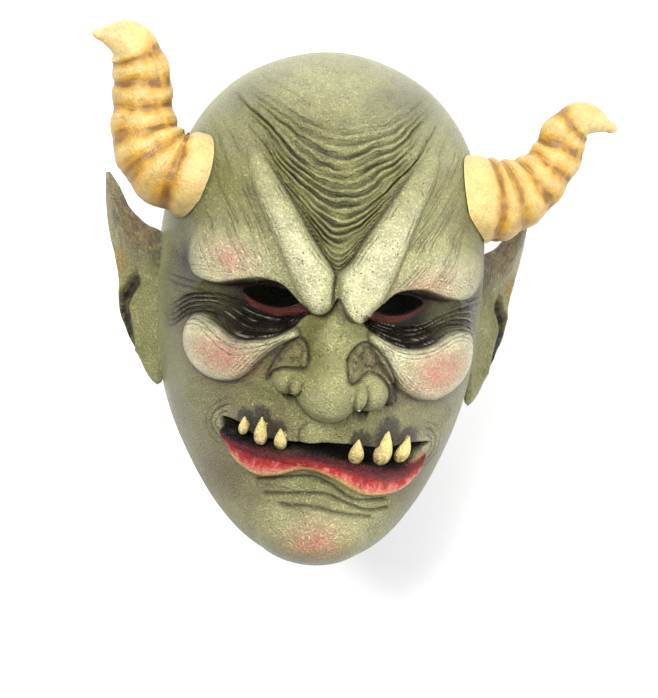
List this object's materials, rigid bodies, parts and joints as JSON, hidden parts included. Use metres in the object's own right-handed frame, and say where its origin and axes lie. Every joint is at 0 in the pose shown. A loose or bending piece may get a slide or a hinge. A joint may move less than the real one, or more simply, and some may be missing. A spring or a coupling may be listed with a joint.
{
  "type": "orc mask",
  "caption": "Full-head latex orc mask with two ringed horns, pointed ears, six tusks and a painted frowning face, lying face up.",
  "frame": {"origin": "the middle of the small flat on the back of the head, which the mask lies on", "axes": "+Z is the way the face looks, +Y is toward the crown, +X is the right-hand side as a viewer sees the face"},
  "size_m": [0.26, 0.247, 0.2168],
  "materials": {
    "latex": "painted, slight sheen",
    "horn": "painted, satin"
  },
  "bodies": {
    "root": {"mask_skin": "latex", "horn_left": "horn", "horn_right": "horn"}
  },
  "joints": []
}
